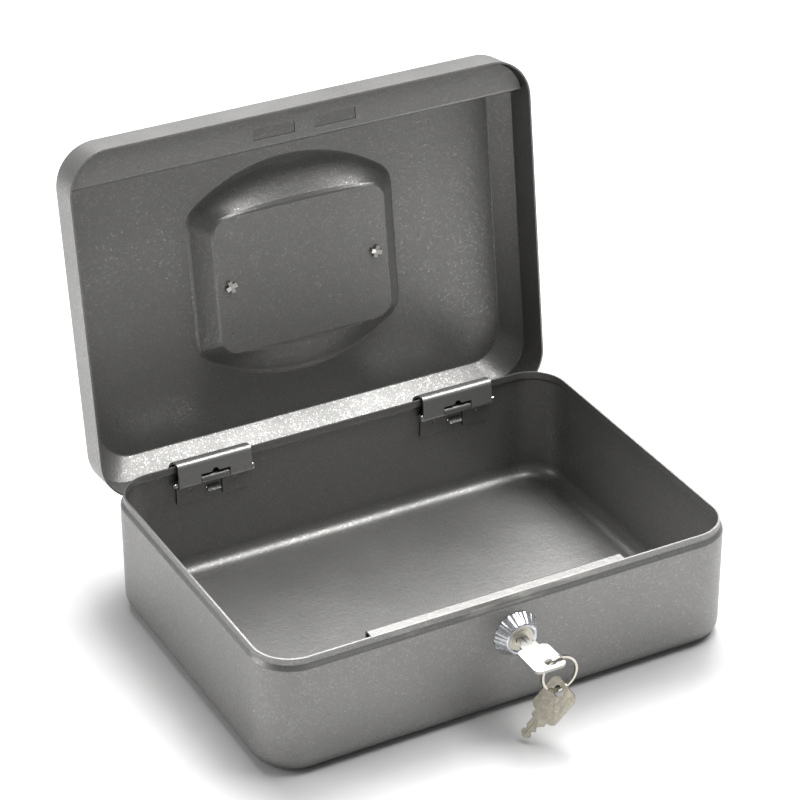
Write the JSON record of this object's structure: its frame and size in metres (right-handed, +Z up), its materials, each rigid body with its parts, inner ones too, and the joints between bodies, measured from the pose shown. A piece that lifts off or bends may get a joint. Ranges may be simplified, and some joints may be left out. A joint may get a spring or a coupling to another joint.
{
  "type": "cash box",
  "caption": "Sheet-steel cash box with a bevelled hinged lid, a recessed folding carry handle, a fluted cam lock with hook and slotted strike plate, and keys on a split ring.",
  "frame": {"origin": "centre of the body's base, on the surface it stands on", "axes": "+X to the right seen from the lock side, -Y towards the lock side, +Y towards the hinges, +Z up; the lid stands open at rest"},
  "size_m": [0.2506, 0.2711, 0.2278],
  "materials": {
    "graphite_paint": "fine-textured metallic powder coat",
    "chrome_bezel": "polished and fluted",
    "lock_zinc": "nickel-plated zinc, satin",
    "key_nickel": "nickel-plated, lightly worn",
    "key_dull": "nickel-plated, dull",
    "ring_steel": "nickel-plated spring wire",
    "pin_steel": "bright zinc-plated",
    "handle_chrome": "bright plated rod",
    "post_steel": "bright zinc-plated",
    "hook_steel": "yellow-zinc plated",
    "nut_steel": "bright zinc-plated"
  },
  "bodies": {
    "box": {"body_shell": "graphite_paint", "lock_guard": "graphite_paint", "lock_bezel": "chrome_bezel", "lock_barrel": "lock_zinc", "lock_nut": "nut_steel", "hinge_body_leaf_left": "graphite_paint", "hinge_body_leaf_right": "graphite_paint", "hinge_pin_left": "pin_steel", "hinge_pin_right": "pin_steel"},
    "lid": {"lid_shell": "graphite_paint", "strike_plate": "graphite_paint", "hinge_lid_leaf_left": "graphite_paint", "hinge_lid_leaf_right": "graphite_paint", "handle_post_left": "post_steel", "handle_post_right": "post_steel"},
    "handle": {"carry_handle": "handle_chrome"},
    "lock_core": {"lock_plug": "lock_zinc", "lock_hook": "hook_steel", "hook_washer": "nut_steel", "hook_screw": "nut_steel"},
    "front_key": {"key": "key_nickel"},
    "ring": {"key_ring": "ring_steel"},
    "hanging_key": {"spare_key": "key_dull"}
  },
  "joints": [
    {"name": "lid_close", "type": "hinge", "parent": "box", "child": "lid", "pos_m": [0, 0.0864, 0.0534], "axis": [1, 0, 0], "range_deg": [0, 97.6]},
    {"name": "handle_fold", "type": "hinge", "parent": "lid", "child": "handle", "pos_m": [0, 0.12439, 0.1355], "axis": [1, 0, 0], "range_deg": [-7.6, 172.4]},
    {"name": "lock_turn", "type": "hinge", "parent": "box", "child": "lock_core", "pos_m": [0.0015, -0.09, 0.0423], "axis": [0, -1, 0], "range_deg": [0, 90]},
    {"name": "key_pull", "type": "slide", "parent": "lock_core", "child": "front_key", "axis": [0, -1, 0], "range_m": [0, 0.01]},
    {"name": "ring_swing", "type": "hinge", "parent": "front_key", "child": "ring", "pos_m": [0.0081, -0.1183, 0.0426], "axis": [1, 0, 0], "range_deg": [-15, 15]},
    {"name": "hanging_key_swing", "type": "hinge", "parent": "ring", "child": "hanging_key", "pos_m": [0.0081, -0.1183, 0.02615], "axis": [1, 0, 0], "range_deg": [-15, 15]}
  ]
}
